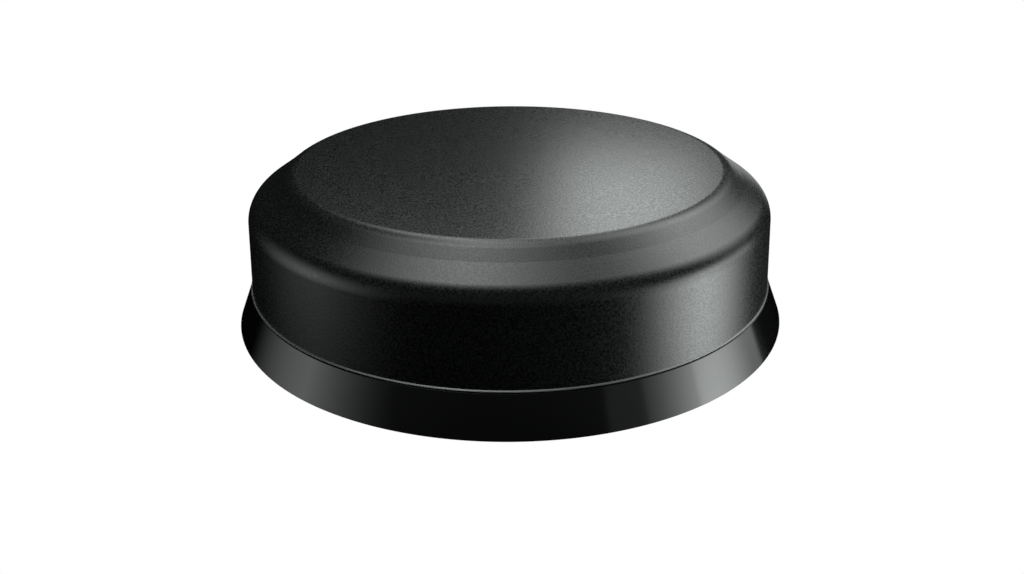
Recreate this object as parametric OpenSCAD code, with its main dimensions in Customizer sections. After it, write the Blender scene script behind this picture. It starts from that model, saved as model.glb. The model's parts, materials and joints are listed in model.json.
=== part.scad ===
// Puck-shaped GNSS receiver on a flared, screw-down mounting base.
// The receiver drops into the base and turns clockwise to lock in a three-lug bayonet.
// Origin: centre of the base's underside. +Z is up, through the radome's crown.

/* [Overall] */
// Diameter of the base where it meets the mounting surface
base_d = 155; // [153:0.5:158]
// Height from the mounting surface to the radome's crown
total_h = 43.5; // [43:0.1:45]
// Height of the flared base
base_h = 10.2; // [10:0.1:10.6]
// Gap between the base and the receiver's rim
parting_gap = 0.3; // [0.2:0.05:0.4]

/* [Radome] */
// Diameter of the radome at its rim
rim_d = 146.2; // [145.6:0.1:146.6]
// Diameter of the radome at its shoulder, before rounding
shoulder_d = 143.8; // [143:0.1:144.4]
// Height of the shoulder, before rounding
shoulder_z = 33.5; // [33:0.1:34]
// Rounding radius of the shoulder
shoulder_r = 6.8; // [4:0.1:8]
// Diameter of the faint crease part-way up the bevel
crease_d = 128.8; // [128:0.1:130]
// Height of the crease
crease_z = 38.7; // [38.2:0.1:39]
// Diameter of the top plateau
plateau_d = 120.2; // [119:0.1:121]
// Height of the plateau's edge, before rounding
plateau_z = 41.8; // [41.5:0.1:42]
// Rounding radius of the plateau's edge
plateau_r = 6; // [3:0.5:8]
// Wall thickness of the radome
wall = 2.5; // [2.2:0.1:2.8]
// Radius of the thin bead round the rim
bead_r = 0.25; // [0.15:0.05:0.3]
// Number of screws that hold the radome
screw_count = 6; // [4:1:8]

/* [Base] */
// Thickness of the base plate
plate_t = 3; // [2.6:0.2:3.2]
// Diameter of the cable opening in the plate
opening_d = 50; // [44:1:60]
// Number of mounting screw holes
bolt_count = 3; // [3:1:6]
// Pitch circle of the mounting screw holes
bolt_pcd = 120; // [118:1:122]
// Diameter of the mounting screw holes
bolt_hole_d = 4.5; // [4:0.1:5]
// Number of stiffening ribs
rib_count = 12; // [6:6:18]

/* [Bayonet] */
// Outer radius of the receiver's hub
hub_r = 40; // [39:0.5:41]
// How far the lugs stand out of the hub
lug_reach = 3.2; // [2.6:0.2:3.6]
// Width of a lug, in degrees
lug_angle = 24; // [18:1:28]
// Turn between locked and released, in degrees
twist = 30; // [28:1:36]
// Number of lugs
lug_count = 3; // [2:1:3]
// Clearance round the hub and lugs
bayonet_gap = 0.4; // [0.3:0.05:0.5]

/* [Electronics] */
// Radius of the main board
board_r = 52; // [51:0.5:53]
// Radius of the antenna's ground plane
ground_r = 56; // [54:0.5:57]
// Side of the lower patch element
low_patch_w = 60; // [56:1:62]
// Side of the upper patch element
high_patch_w = 40; // [36:1:44]

/* [Cable inlet] */
// Major diameter of the inlet's thread
inlet_d = 12; // [12:0.5:12.5]
// Length of the inlet's thread
inlet_l = 8.4; // [7:0.1:8.6]

/* [Hidden] */
$fn = 96;
tube_fn = 32;
eps = 0.01;
slip = 0.1;

// Levels, from the mounting surface up
rim_z = base_h + parting_gap;
floor_t = 3;
floor_z = rim_z + floor_t;
well_z = rim_z + 4;
roof_z = well_z + floor_t;
low_standoff_h = 4.5;
board_z = floor_z + low_standoff_h;
board_t = 1.6;
board_top = board_z + board_t;
high_standoff_h = 5.8;
antenna_z = board_top + high_standoff_h;
antenna_t = 1.2;
ground_z = antenna_z + antenna_t;
ground_t = 0.8;
low_patch_z = ground_z + ground_t;
low_patch_h = 5;
electrode_t = 0.2;
high_patch_z = low_patch_z + low_patch_h + electrode_t;
high_patch_h = 4;
high_patch_top = high_patch_z + high_patch_h;

// Base and bayonet
base_r = base_d / 2;
rim_r = rim_d / 2;
base_top_r = rim_r + 0.4;
base_top_wall = 4;
base_wall_slope = 1.6;
base_foot_edge = 0.4;
base_top_edge = 0.25;
bolt_pad_w = 3.4;
bolt_pad_h = 1.5;
rib_t = 1.6;
rib_h = 5;
ring_in_r = hub_r + bayonet_gap;
ring_out_r = hub_r + 10;
ring_z = plate_t;
ring_top = base_h - 0.2;
lug_r = hub_r + lug_reach;
channel_r = lug_r + bayonet_gap;
lug_z = plate_t + 1.2;
lug_h = 2.6;
channel_top = lug_z + lug_h + 0.3;
stop_gap = 0.5;
hub_wall = 3;
hub_foot = plate_t + 0.6;
ring_screw_r = (channel_r + ring_out_r) / 2;
ring_screw_count = 6;
ring_screw_start = 15;
pilot_floor = 0.8;
gasket_in_r = 65.6;
gasket_out_r = 72.4;
gasket_t = 1;
rim_seal_in_r = rim_r - 2.3;
rim_seal_w = 1.2;
rim_seal_h = 1.2;
rim_seal_z = base_h + 0.2 - rim_seal_h;

// Radome and lower housing
land_r = rim_r - wall - 0.2;
land_h = 7;
housing_r = land_r - 0.3;
housing_lip_h = 6.8;
housing_lip_t = 3.5;
groove_z = rim_z + 3.7;
groove_h = 2.2;
groove_depth = 1.6;
seal_r = 0.92;
screw_ring_r = 62;
boss_r = 4;
boss_bore_l = 14;
screw_bore_r = 1.55;
screw_r = 1.5;
screw_hole_r = screw_r + 0.15;
screw_head_r = 2.75;
head_h = 1.5;
socket_r = 1.2;
socket_depth = 0.9;
housing_screw_l = 10;
antenna_screw_l = 5;
well_r = 13;
well_wall = 2.5;
vent_y = 45;
vent_hole_r = 1.5;
vent_r = 4;
vent_t = 0.3;
label_r = ring_out_r + 6;
label_size = [9, 30, 0.15];

// Electronics
standoff_x = 37.5;
standoff_y = 26.5;
standoff_r = 2.75;
feed_ring_r = 8;
feed_pin_r = 0.5;
feed_snug_r = 0.6;
feed_clear_r = 0.9;
low_patch_cut = 6;
high_patch_cut = 4;
low_electrode_margin = 4;
high_electrode_margin = 3;
lna_y = 24;
lna_size = [36, 20, 2.4];
lna_sheet = 0.3;
coax_y = -20;
coax_top_x = 26;
coax_low_x = 34;
coax_turn_x = 42;
coax_r = 0.57;
coax_plug_w = 2.6;
coax_plug_h = 1.3;
header_y = -31;
header_h = 2;
wire_r = 0.6;

// Cable inlet
inlet_r = inlet_d / 2;
flange_h = 1.8;
flange_r = 9.5;
inlet_foot = well_z - flange_h - inlet_l;
inlet_body_r = 7;
inlet_bore_r = 4.4;
gland_in_r = 7.4;
gland_out_r = 8.8;
gland_depth = 1;
nut_r = 9.8;
nut_h = 2.8;
key_size = [1.2, 0.9, 5.8];
face_depth = 7;
contact_side = 2.5;
contact_r = 0.5;
contact_recess = 1.2;
cup_r = 0.8;
cup_h = 2.4;
cup_top = board_top + 0.9;

// ---------- Helpers ----------

function unit(v) = v / norm(v);

// Points of the arc of radius r that rounds corner b between neighbours a and c.
function round_corner(a, b, c, r, n = 8) =
    let (
        u = unit(a - b),
        v = unit(c - b),
        half = acos(u * v) / 2,
        centre = b + unit(u + v) * r / sin(half),
        first = b + u * r / tan(half) - centre,
        last = b + v * r / tan(half) - centre,
        a0 = atan2(first[1], first[0]),
        turn = atan2(first[0] * last[1] - first[1] * last[0], first * last)
    )
    [for (i = [0:n]) centre + r * [cos(a0 + turn * i / n), sin(a0 + turn * i / n)]];

// Corner b of the line a-b-c, moved inwards (to the left of travel) by t.
function inset_corner(a, b, c, t) =
    let (
        u = unit(b - a),
        v = unit(c - b),
        m = [-u[1], u[0]],
        n = [-v[1], v[0]]
    )
    b + t * (m + n) / (1 + m * n);

// Height of the shallow spherical crown, depth below the skin and radius r.
function crown_z(r, depth = 0) =
    let (
        rise = total_h - plateau_z,
        crown_r = (pow(plateau_d / 2, 2) + rise * rise) / (2 * rise)
    )
    total_h - crown_r + sqrt(pow(crown_r - depth, 2) - r * r);

// Skin of the radome, from the shoulder to the axis, moved inwards by depth.
function radome_skin(depth) =
    let (
        foot = [rim_r, rim_z],
        shoulder = [shoulder_d / 2, shoulder_z],
        crease = [crease_d / 2, crease_z],
        edge = [plateau_d / 2, plateau_z],
        inner = [edge[0] - 5, crown_z(edge[0] - 5)],
        shoulder_in = inset_corner(foot, shoulder, crease, depth),
        crease_in = inset_corner(shoulder, crease, edge, depth),
        edge_in = inset_corner(crease, edge, inner, depth),
        steps = 8
    )
    concat(
        round_corner(foot - [depth, 0], shoulder_in, crease_in, shoulder_r - depth),
        [crease_in],
        round_corner(crease_in, edge_in, inner - [0, depth], plateau_r - min(depth, 2), 6),
        [for (i = [1:steps]) let (r = (edge[0] - 5) * (1 - i / steps)) [r, crown_z(r, depth)]]
    );

module ring(r_in, r_out, z, h) {
    translate([0, 0, z])
        difference() {
            cylinder(r = r_out, h = h);
            translate([0, 0, -eps])
                cylinder(r = r_in, h = h + 2 * eps);
        }
}

// A block of a ring between two angles, centred on the given angle.
module ring_sector(r_in, r_out, z, h, centre, angle) {
    rotate([0, 0, centre - angle / 2])
        rotate_extrude(angle = angle)
            translate([r_in, z])
                square([r_out - r_in, h]);
}

// Copies of the children on a circle of radius r, from the start angle on.
module around(count, r, start = 0) {
    for (i = [0:count - 1])
        rotate([0, 0, start + i * 360 / count])
            translate([r, 0, 0])
                children();
}

module at_standoffs() {
    for (sx = [-1, 1], sy = [-1, 1])
        translate([sx * standoff_x, sy * standoff_y, 0])
            children();
}

module plate(w, d, z, h) {
    translate([-w / 2, -d / 2, z])
        cube([w, d, h]);
}

// Low-head screw along +Z with a hex socket; its head's outer face is at z = 0.
module low_head_screw(shank_l) {
    difference() {
        union() {
            cylinder(r = screw_head_r, h = head_h);
            cylinder(r = screw_r, h = head_h + shank_l);
        }
        translate([0, 0, -eps])
            cylinder(r = socket_r, h = socket_depth, $fn = 6);
    }
}

// Square tile of side w with cut corners.
module tile(w, cut, z, h) {
    k = w / 2;
    translate([0, 0, z])
        linear_extrude(h)
            polygon([
                [k - cut, -k], [k, cut - k], [k, k - cut], [k - cut, k],
                [cut - k, k], [-k, k - cut], [-k, cut - k], [cut - k, -k]
            ]);
}

module torus(ring_r, tube_r, z) {
    translate([0, 0, z])
        rotate_extrude()
            translate([ring_r, 0])
                circle(r = tube_r, $fn = tube_fn);
}

// ---------- Mounting base ----------

module mounting_base() {
    color([0.035, 0.035, 0.038])
        difference() {
            union() {
                rotate_extrude()
                    polygon([
                        [opening_d / 2, 0],
                        [base_r - base_foot_edge, 0],
                        [base_r, base_foot_edge],
                        [base_top_r, base_h - base_top_edge],
                        [base_top_r - base_top_edge, base_h],
                        [base_top_r - base_top_wall, base_h],
                        [base_top_r - base_top_wall + base_wall_slope, plate_t],
                        [opening_d / 2, plate_t]
                    ]);
                around(bolt_count, bolt_pcd / 2, 90)
                    cylinder(r = bolt_hole_d / 2 + bolt_pad_w, h = plate_t + bolt_pad_h);
                around(rib_count, 0, 180 / rib_count)
                    translate([ring_out_r + 0.5, -rib_t / 2, plate_t - eps])
                        cube([base_top_r - base_top_wall - ring_out_r, rib_t, rib_h]);
            }
            around(bolt_count, bolt_pcd / 2, 90)
                translate([0, 0, -eps])
                    cylinder(r = bolt_hole_d / 2, h = plate_t + bolt_pad_h + 1);
            around(ring_screw_count, ring_screw_r, ring_screw_start)
                translate([0, 0, pilot_floor])
                    cylinder(r = screw_bore_r, h = plate_t);
            ring(gasket_in_r - slip, gasket_out_r + slip, -eps, gasket_t + eps);
            ring(rim_seal_in_r - slip, rim_seal_in_r + rim_seal_w + slip, rim_seal_z, rim_seal_h);
        }
}

module base_gasket() {
    color([0.06, 0.06, 0.06])
        ring(gasket_in_r, gasket_out_r, 0, gasket_t);
}

module rim_seal() {
    color([0.05, 0.05, 0.05])
        ring(rim_seal_in_r, rim_seal_in_r + rim_seal_w, rim_seal_z, rim_seal_h);
}

module bayonet_ring() {
    entry = lug_angle + 2 * stop_gap;
    // The entry's wall stands just clear of the channel's, so that the two cuts never share a face.
    relief = 0.2;
    countersink_h = 1.7;
    color([0.72, 0.73, 0.74])
        difference() {
            ring(ring_in_r, ring_out_r, ring_z, ring_top - ring_z);
            for (i = [0:lug_count - 1]) {
                home = i * 360 / lug_count;
                ring_sector(ring_in_r - 1, channel_r, ring_z - 1, channel_top - ring_z + 1,
                            home + twist / 2, entry + twist);
                ring_sector(ring_in_r - 1, channel_r + relief, ring_z - 1, ring_top - ring_z + 2,
                            home + twist, entry - relief);
            }
            around(ring_screw_count, ring_screw_r, ring_screw_start) {
                translate([0, 0, ring_z - eps])
                    cylinder(r = screw_hole_r, h = ring_top);
                translate([0, 0, ring_top - countersink_h])
                    cylinder(r1 = screw_hole_r, r2 = screw_head_r + slip, h = countersink_h + eps);
            }
        }
}

// Countersunk screws: flush heads up, points down in the base plate.
module bayonet_screws() {
    foot = pilot_floor + 0.2;
    top = ring_top - slip;
    cone_h = 1.4;
    color([0.75, 0.75, 0.74])
        around(ring_screw_count, ring_screw_r, ring_screw_start)
            difference() {
                union() {
                    translate([0, 0, foot])
                        cylinder(r = screw_r, h = top - foot);
                    translate([0, 0, top - cone_h])
                        cylinder(r1 = screw_r, r2 = screw_head_r - slip, h = cone_h);
                }
                translate([0, 0, top - socket_depth + slip])
                    cylinder(r = socket_r - slip, h = 1, $fn = 6);
            }
}

// ---------- Receiver housing ----------

module radome() {
    step_in = 0.5;
    color([0.09, 0.095, 0.095])
        difference() {
            union() {
                difference() {
                    union() {
                        rotate_extrude()
                            polygon(concat([[0, rim_z], [rim_r, rim_z]], radome_skin(0)));
                        torus(rim_r, bead_r, rim_z + bead_r);
                    }
                    rotate_extrude()
                        polygon(concat(
                            [[0, rim_z - 1], [land_r, rim_z - 1], [land_r, rim_z + land_h],
                             [rim_r - wall - step_in, rim_z + land_h + step_in]],
                            radome_skin(wall)
                        ));
                }
                intersection() {
                    around(screw_count, screw_ring_r)
                        translate([0, 0, floor_z + slip])
                            cylinder(r = boss_r, h = total_h);
                    rotate_extrude()
                        polygon(concat([[0, rim_z], [land_r, rim_z]], radome_skin(wall / 2)));
                }
            }
            around(screw_count, screw_ring_r)
                translate([0, 0, floor_z])
                    cylinder(r = screw_bore_r, h = boss_bore_l);
        }
}

module lower_housing() {
    lug_step = 360 / lug_count;
    stud_depth = 2;
    color([0.12, 0.12, 0.125])
        difference() {
            union() {
                rotate_extrude()
                    polygon([
                        [well_r, rim_z],
                        [hub_r - hub_wall, rim_z],
                        [hub_r - hub_wall, hub_foot],
                        [hub_r, hub_foot],
                        [hub_r, rim_z],
                        [housing_r, rim_z],
                        [housing_r, groove_z],
                        [housing_r - groove_depth, groove_z],
                        [housing_r - groove_depth, groove_z + groove_h],
                        [housing_r, groove_z + groove_h],
                        [housing_r, rim_z + housing_lip_h],
                        [housing_r - housing_lip_t, rim_z + housing_lip_h],
                        [housing_r - housing_lip_t, floor_z],
                        [well_r + well_wall, floor_z],
                        [well_r + well_wall, roof_z],
                        [inlet_body_r + slip, roof_z],
                        [inlet_body_r + slip, well_z],
                        [well_r, well_z]
                    ]);
                for (i = [0:lug_count - 1])
                    ring_sector(hub_r - 1, lug_r, lug_z, lug_h, i * lug_step, lug_angle);
            }
            around(screw_count, screw_ring_r)
                translate([0, 0, rim_z - eps]) {
                    cylinder(r = screw_head_r + 0.2, h = head_h + 2 * slip);
                    cylinder(r = screw_r + 0.2, h = floor_t + 1);
                }
            translate([0, vent_y, rim_z - 1])
                cylinder(r = vent_hole_r, h = floor_t + 2);
            at_standoffs()
                translate([0, 0, floor_z - stud_depth])
                    cylinder(r = screw_bore_r, h = stud_depth + 1);
        }
}

module housing_seal() {
    color([0.45, 0.16, 0.1])
        torus(housing_r - groove_depth + seal_r + 0.02, seal_r, groove_z + groove_h / 2);
}

module housing_screws() {
    color([0.75, 0.75, 0.74])
        around(screw_count, screw_ring_r)
            translate([0, 0, rim_z + slip])
                low_head_screw(housing_screw_l);
}

module rating_label() {
    color([0.78, 0.79, 0.8])
        rotate([0, 0, 180 / screw_count])
            translate([label_r, 0, 0])
                plate(label_size[0], label_size[1], rim_z - label_size[2], label_size[2]);
}

module vent_membrane() {
    color([0.9, 0.9, 0.88])
        translate([0, vent_y, floor_z])
            cylinder(r = vent_r, h = vent_t);
}

// ---------- Antenna ----------

// Clearance holes for the screws and the feed pins, through a layer whose foot is at z.
module antenna_holes(z, pin_hole_r) {
    at_standoffs()
        translate([0, 0, z - 1])
            cylinder(r = screw_hole_r, h = 10);
    around(4, feed_ring_r)
        translate([0, 0, z - 1])
            cylinder(r = pin_hole_r, h = 10);
}

module ground_plane() {
    color([0.78, 0.79, 0.8])
        difference() {
            translate([0, 0, ground_z])
                cylinder(r = ground_r, h = ground_t);
            antenna_holes(ground_z, feed_clear_r);
        }
}

module antenna_board() {
    color([0.05, 0.28, 0.14])
        difference() {
            translate([0, 0, antenna_z])
                cylinder(r = board_r, h = antenna_t);
            antenna_holes(antenna_z, feed_snug_r);
        }
}

module lower_patch() {
    color([0.86, 0.84, 0.76])
        difference() {
            tile(low_patch_w, low_patch_cut, low_patch_z, low_patch_h);
            antenna_holes(low_patch_z, feed_clear_r);
        }
}

module lower_electrode() {
    color([0.85, 0.85, 0.83])
        difference() {
            tile(low_patch_w - 2 * low_electrode_margin, low_patch_cut - 2,
                 low_patch_z + low_patch_h, electrode_t);
            antenna_holes(low_patch_z, feed_clear_r);
        }
}

module upper_patch() {
    color([0.86, 0.84, 0.76])
        difference() {
            tile(high_patch_w, high_patch_cut, high_patch_z, high_patch_h);
            antenna_holes(high_patch_z, feed_snug_r);
        }
}

module upper_electrode() {
    color([0.85, 0.85, 0.83])
        difference() {
            tile(high_patch_w - 2 * high_electrode_margin, high_patch_cut - 1,
                 high_patch_top, electrode_t);
            antenna_holes(high_patch_top, feed_snug_r);
        }
}

module feed_pins() {
    pin_foot = antenna_z - 0.5;
    head_z = high_patch_top + electrode_t;
    color([0.8, 0.62, 0.3])
        around(4, feed_ring_r) {
            translate([0, 0, pin_foot])
                cylinder(r = feed_pin_r, h = head_z - pin_foot);
            translate([0, 0, head_z])
                cylinder(r1 = 1.3, r2 = 0.7, h = 0.5);
        }
}

// Open-topped can under the antenna board, over its amplifiers.
module lna_shield() {
    can_z = antenna_z - lna_size[2];
    color([0.75, 0.76, 0.77])
        translate([0, lna_y, 0])
            difference() {
                plate(lna_size[0], lna_size[1], can_z, lna_size[2]);
                plate(lna_size[0] - 2 * lna_sheet, lna_size[1] - 2 * lna_sheet,
                      can_z + lna_sheet, lna_size[2]);
            }
}

module antenna_screws() {
    color([0.75, 0.75, 0.74])
        at_standoffs()
            translate([0, 0, low_patch_z + head_h])
                mirror([0, 0, 1])
                    low_head_screw(antenna_screw_l);
}

// Hex standoff with a stud below its foot at z and a threaded bore in its top.
module standoff(z, h, stud_l, bore_l) {
    difference() {
        union() {
            translate([0, 0, z])
                cylinder(r = standoff_r, h = h, $fn = 6);
            translate([0, 0, z - stud_l])
                cylinder(r = screw_r, h = stud_l + 1);
        }
        translate([0, 0, z + h - bore_l])
            cylinder(r = screw_bore_r, h = bore_l + 1);
    }
}

module upper_standoffs() {
    color([0.8, 0.65, 0.32])
        at_standoffs()
            standoff(board_top, high_standoff_h, 4, 4);
}

module lower_standoffs() {
    color([0.8, 0.65, 0.32])
        at_standoffs()
            standoff(floor_z, low_standoff_h, 1.8, 3);
}

// ---------- Main board ----------

module main_board() {
    color([0.05, 0.28, 0.14])
        difference() {
            ring(well_r, board_r, board_z, board_t);
            at_standoffs()
                translate([0, 0, board_z - 1])
                    cylinder(r = screw_hole_r, h = board_t + 2);
        }
}

// Block of size w x d x h standing on the main board at (x, y), lifted by z.
module on_board(x, y, w, d, h, z = 0) {
    translate([x, y, 0])
        plate(w, d, board_top + z, h);
}

module gnss_module() {
    carrier_t = 1;
    x = -31;
    color([0.76, 0.77, 0.78]) {
        on_board(x, 0, 30, 30, carrier_t);
        on_board(x, 0, 28, 28, 2.2, carrier_t);
    }
}

module radio_module() {
    carrier_t = 0.8;
    x = 18;
    y = 33;
    color([0.76, 0.77, 0.78]) {
        on_board(x, y, 14, 19, carrier_t);
        on_board(x, y - 1.5, 12, 14, 1.4, carrier_t);
    }
}

module processor() {
    color([0.05, 0.05, 0.05])
        on_board(29, -6, 14, 14, 1.4);
}

module board_chips() {
    color([0.07, 0.07, 0.07]) {
        for (y = [8, 18])
            on_board(30, y, 9, 7, 1);
        for (x = [14, 22])
            on_board(x, -38, 5, 6, 1.6);
        on_board(-24, 24, 4, 4, 1);
        on_board(-30, -24, 5, 6, 1.7);
        on_board(43, 0, 3, 8, 1.2);
    }
}

module power_inductors() {
    color([0.2, 0.2, 0.21])
        for (x = [-26, -15])
            on_board(x, -37, 8, 8, 3);
}

module backup_cell() {
    color([0.77, 0.77, 0.76])
        translate([-10, 36, board_top]) {
            cylinder(r = 6.2, h = 2);
            cylinder(r = 5.2, h = 2.5);
        }
}

// U-shaped coaxial lead from the antenna board's underside to the main board.
module coax_jumper() {
    top_z = antenna_z - coax_plug_h / 2;
    low_z = board_top + coax_plug_h / 2;
    top_x = coax_top_x + coax_plug_w / 2;
    low_x = coax_low_x + coax_plug_w / 2;
    bend = (top_z - low_z) / 2;
    color([0.1, 0.1, 0.1]) {
        translate([top_x, coax_y, top_z])
            rotate([0, 90, 0])
                cylinder(r = coax_r, h = coax_turn_x - top_x);
        translate([coax_turn_x, coax_y, low_z + bend])
            rotate([90, 90, 0])
                rotate_extrude(angle = 180)
                    translate([bend, 0])
                        circle(r = coax_r, $fn = tube_fn);
        translate([low_x, coax_y, low_z])
            rotate([0, 90, 0])
                cylinder(r = coax_r, h = coax_turn_x - low_x);
    }
}

module coax_plugs() {
    color([0.8, 0.68, 0.4])
        translate([0, coax_y, 0]) {
            translate([coax_top_x, 0, 0])
                plate(coax_plug_w, coax_plug_w, antenna_z - coax_plug_h, coax_plug_h);
            translate([coax_low_x, 0, 0])
                plate(coax_plug_w, coax_plug_w, board_top, coax_plug_h);
        }
}

module harness_header() {
    color([0.88, 0.86, 0.78])
        on_board(0, header_y - 1.5, 12, 5, header_h);
}

module harness_plug() {
    color([0.93, 0.92, 0.88])
        on_board(0, header_y - 1, 10, 6, 3.4, header_h);
}

// One insulated wire: up out of its cup, round a bend and back along -Y into the plug.
module wire(x, y, run_z, bend) {
    wire_end = header_y + 2;
    translate([x, y, cup_top])
        cylinder(r = wire_r, h = run_z - bend - cup_top);
    translate([x, y - bend, run_z - bend])
        rotate([90, 0, 90])
            rotate_extrude(angle = 90)
                translate([bend, 0])
                    circle(r = wire_r, $fn = tube_fn);
    translate([x, y - bend, run_z])
        rotate([90, 0, 0])
            cylinder(r = wire_r, h = y - bend - wire_end);
}

module wire_harness() {
    low_run = board_top + 2.8;
    low_bend = 1.5;
    high_run = board_top + 4.4;
    high_bend = 2;
    color([0.55, 0.1, 0.08]) {
        for (x = [-contact_side, contact_side]) {
            wire(x, -contact_side, low_run, low_bend);
            wire(x, contact_side, high_run, high_bend);
        }
        wire(0, 0, low_run, low_bend);
    }
}

// ---------- Cable inlet ----------

module inlet_shell() {
    body_top = roof_z + nut_h + 0.4;
    color([0.78, 0.77, 0.74]) {
        difference() {
            union() {
                translate([0, 0, inlet_foot])
                    cylinder(r = inlet_r, h = well_z - inlet_foot);
                translate([0, 0, well_z - flange_h])
                    cylinder(r = flange_r, h = flange_h);
                translate([0, 0, well_z - eps])
                    cylinder(r = inlet_body_r, h = body_top - well_z + eps);
            }
            translate([0, 0, inlet_foot - eps])
                cylinder(r = inlet_bore_r, h = body_top);
            ring(gland_in_r, gland_out_r, well_z - gland_depth, gland_depth + eps);
        }
        translate([-key_size[0] / 2, inlet_bore_r - 0.7, inlet_foot + 0.6])
            cube(key_size);
    }
}

module inlet_seal() {
    color([0.05, 0.05, 0.05])
        torus((gland_in_r + gland_out_r) / 2, gland_depth / 2 - eps, well_z - gland_depth / 2);
}

module inlet_nut() {
    color([0.78, 0.77, 0.74])
        difference() {
            translate([0, 0, roof_z])
                cylinder(r = nut_r, h = nut_h, $fn = 6);
            translate([0, 0, roof_z - eps])
                cylinder(r = inlet_body_r + 0.05, h = nut_h + 2 * eps);
        }
}

module at_contacts() {
    children();
    for (x = [-contact_side, contact_side], y = [-contact_side, contact_side])
        translate([x, y, 0])
            children();
}

module inlet_insulator() {
    face_z = inlet_foot + face_depth;
    back_z = cup_top - cup_h;
    color([0.06, 0.06, 0.06])
        difference() {
            translate([0, 0, face_z])
                cylinder(r = inlet_bore_r - 0.05, h = back_z - face_z);
            at_contacts()
                translate([0, 0, face_z - eps])
                    cylinder(r = contact_r + 0.05, h = back_z - face_z + 2 * eps);
        }
}

module inlet_contacts() {
    color([0.85, 0.68, 0.3])
        at_contacts() {
            translate([0, 0, inlet_foot + contact_recess])
                cylinder(r = contact_r, h = cup_top - cup_h + 1.4 - contact_recess - inlet_foot);
            translate([0, 0, cup_top - cup_h])
                cylinder(r = cup_r, h = cup_h);
        }
}

mounting_base();
base_gasket();
bayonet_ring();
bayonet_screws();
rim_seal();
radome();
lower_housing();
housing_seal();
housing_screws();
rating_label();
vent_membrane();
ground_plane();
antenna_board();
lower_patch();
lower_electrode();
upper_patch();
upper_electrode();
feed_pins();
lna_shield();
antenna_screws();
upper_standoffs();
lower_standoffs();
main_board();
gnss_module();
radio_module();
processor();
board_chips();
power_inductors();
backup_cell();
coax_jumper();
coax_plugs();
harness_header();
harness_plug();
wire_harness();
inlet_shell();
inlet_seal();
inlet_nut();
inlet_insulator();
inlet_contacts();
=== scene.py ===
"""GNSS receiver on its screw-down base: finished pieces, materials and a small studio.

Laid out as an add-on. Outlines are (radius, height) in millimetres, in the frame's own axes;
meshes are in metres.
"""

import json
import math

import bmesh
import bpy
from bpy.props import FloatProperty, FloatVectorProperty, IntProperty, PointerProperty
from mathutils import Matrix, Vector


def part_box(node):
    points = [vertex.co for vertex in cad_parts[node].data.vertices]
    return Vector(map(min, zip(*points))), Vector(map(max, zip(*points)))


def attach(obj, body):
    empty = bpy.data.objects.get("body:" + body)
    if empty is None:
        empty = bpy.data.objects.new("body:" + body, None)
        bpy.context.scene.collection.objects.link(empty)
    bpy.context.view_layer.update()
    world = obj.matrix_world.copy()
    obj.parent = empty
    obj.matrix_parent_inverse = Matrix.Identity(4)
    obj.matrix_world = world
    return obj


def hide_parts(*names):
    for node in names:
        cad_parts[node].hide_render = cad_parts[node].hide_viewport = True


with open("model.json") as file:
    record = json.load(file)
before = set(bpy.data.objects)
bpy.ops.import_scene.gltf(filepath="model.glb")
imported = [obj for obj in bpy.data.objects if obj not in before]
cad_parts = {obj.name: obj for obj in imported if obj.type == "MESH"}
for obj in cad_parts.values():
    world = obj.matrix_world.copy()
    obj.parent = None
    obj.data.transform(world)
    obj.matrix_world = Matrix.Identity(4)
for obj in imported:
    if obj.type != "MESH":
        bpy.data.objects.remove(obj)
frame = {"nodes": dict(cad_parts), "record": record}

bl_info = {
    "name": "GNSS receiver",
    "version": (1, 0, 0),
    "blender": (4, 5, 0),
    "location": "3D View > Sidebar > Receiver",
    "description": "Builds the finished pieces of a twist-lock GNSS receiver round its CAD frame",
    "category": "Add Mesh",
}

MM = 0.001
FULL_TURN = 2 * math.pi
WELD = 0.0005 * MM
CAD_WELD = 0.002 * MM
SLIVER = 0.0001 * MM
SHARP_ANGLE = 38
CORNER_ANGLE = 32
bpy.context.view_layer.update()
SLOT_OF = {row["node"]: row["material_slot"] for row in frame["record"]["subparts"]}
BODY_OF = {node: body for body, nodes in frame["record"]["behaviour"]["bodies"].items() for node in nodes}


def height_of(node, side):
    """Lowest (side 0) or highest (side 1) level of a CAD node, in millimetres."""
    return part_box(node)[side].z / MM


def reach_of(node):
    """Outer radius of a round CAD node, in millimetres."""
    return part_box(node)[1].x / MM


# Levels and radii shared by several pieces
BASE_TOP = height_of("mounting_base", 1)
BASE_R = reach_of("mounting_base")
RIM_Z = height_of("radome", 0)
CROWN_Z = height_of("radome", 1)
FLOOR_Z = height_of("vent_membrane", 0)
PLATE_T = height_of("bayonet_ring", 0)
SCREW_COUNT = 6
SCREW_RING_R = 62
HUB_R = 40
STANDOFFS = [(x, y) for x in (-37.5, 37.5) for y in (-26.5, 26.5)]


# ---------- Settings ----------

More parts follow.
